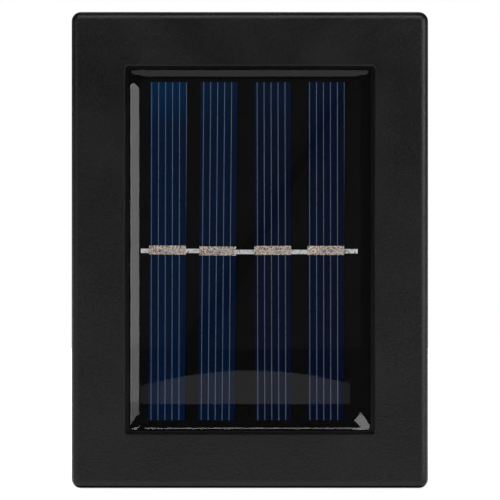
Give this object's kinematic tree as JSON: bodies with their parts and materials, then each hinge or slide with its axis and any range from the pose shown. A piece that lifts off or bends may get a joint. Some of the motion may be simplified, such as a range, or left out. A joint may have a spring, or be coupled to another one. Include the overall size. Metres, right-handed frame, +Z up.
{
  "type": "fence light",
  "caption": "Upright rectangular solar fence light: resin-coated panel in the front of a black case, clear light windows in its top and bottom, keyhole and push button at the back.",
  "frame": {"origin": "centre of the flat rear face, which lies against the fence", "axes": "+Y out of the rear face into the fence, so the solar panel faces -Y; +Z up; +X to the right as seen from the front"},
  "size_m": [0.0898, 0.038, 0.12],
  "materials": {
    "case": "fine spark-eroded texture, black ABS",
    "gasket": "solid silicone cord, dark grey",
    "screw": "stainless pan-head tapping screws with a cross recess",
    "panel_board": "black-masked glass-fibre board",
    "tape": "white double-sided foam tape",
    "solder": "bright solder",
    "silicon": "dark blue coated monocrystalline silicon",
    "silver_print": "fired silver print",
    "pad_print": "speckled beige silver-aluminium print",
    "ribbon": "tinned copper ribbon",
    "resin": "clear domed epoxy",
    "lens": "clear polycarbonate, fluted inside",
    "reflector": "white ABS",
    "led_board": "white-masked board",
    "led": "white package with a yellow phosphor cup",
    "boot": "black silicone",
    "dark_plastic": "black nylon",
    "white_plastic": "natural acetal",
    "spring": "drawn spring steel, nickel plated",
    "circuit_board": "green-masked glass-fibre board",
    "chip": "moulded epoxy package",
    "ferrite": "ferrite drum with a lacquered winding",
    "can": "drawn aluminium can",
    "battery_can": "nickel-plated can",
    "sleeve": "plain green shrink sleeve",
    "lead_black": "black PVC insulation",
    "lead_red": "red PVC insulation"
  },
  "bodies": {
    "case": {"battery_cell": "battery_can", "battery_contact": "spring", "battery_holder": "dark_plastic", "battery_lead_black": "lead_black", "battery_lead_red": "lead_red", "battery_sleeve": "sleeve", "battery_spring": "spring", "blocking_diode": "chip", "board_screws": "screw", "boost_inductor": "ferrite", "boot_ring": "dark_plastic", "button_boot": "boot", "cell_fingers": "silver_print", "chip_resistors": "chip", "contact_pads": "pad_print", "cover_gasket": "gasket", "cover_screws": "screw", "driver_chip": "chip", "front_housing": "case", "holder_screws": "screw", "keyhole_cap": "case", "lower_led_board": "led_board", "lower_led_lead_black": "lead_black", "lower_led_lead_red": "lead_red", "lower_leds": "led", "lower_lens": "lens", "lower_reflector": "reflector", "main_board": "circuit_board", "panel_board": "panel_board", "panel_tape": "tape", "panel_terminals": "solder", "rear_cover": "case", "reflector_screws": "screw", "resin_coat": "resin", "solar_cell_1": "silicon", "solar_cell_2": "silicon", "solar_cell_3": "silicon", "solar_cell_4": "silicon", "solar_lead_black": "lead_black", "solar_lead_red": "lead_red", "solder_joints": "solder", "storage_capacitor": "can", "switch_body": "dark_plastic", "switch_spring": "spring", "tab_ribbons": "ribbon", "upper_led_board": "led_board", "upper_led_lead_black": "lead_black", "upper_led_lead_red": "lead_red", "upper_leds": "led", "upper_lens": "lens", "upper_reflector": "reflector"},
    "button": {"switch_plunger": "white_plastic"}
  },
  "joints": [
    {"name": "button_press", "type": "slide", "parent": "case", "child": "button", "axis": [0, -1, 0], "range_m": [0, 0.0015], "stiffness_N_per_m": 800, "springref_m": -0.0005, "deforming": ["button_boot", "switch_spring"]}
  ]
}
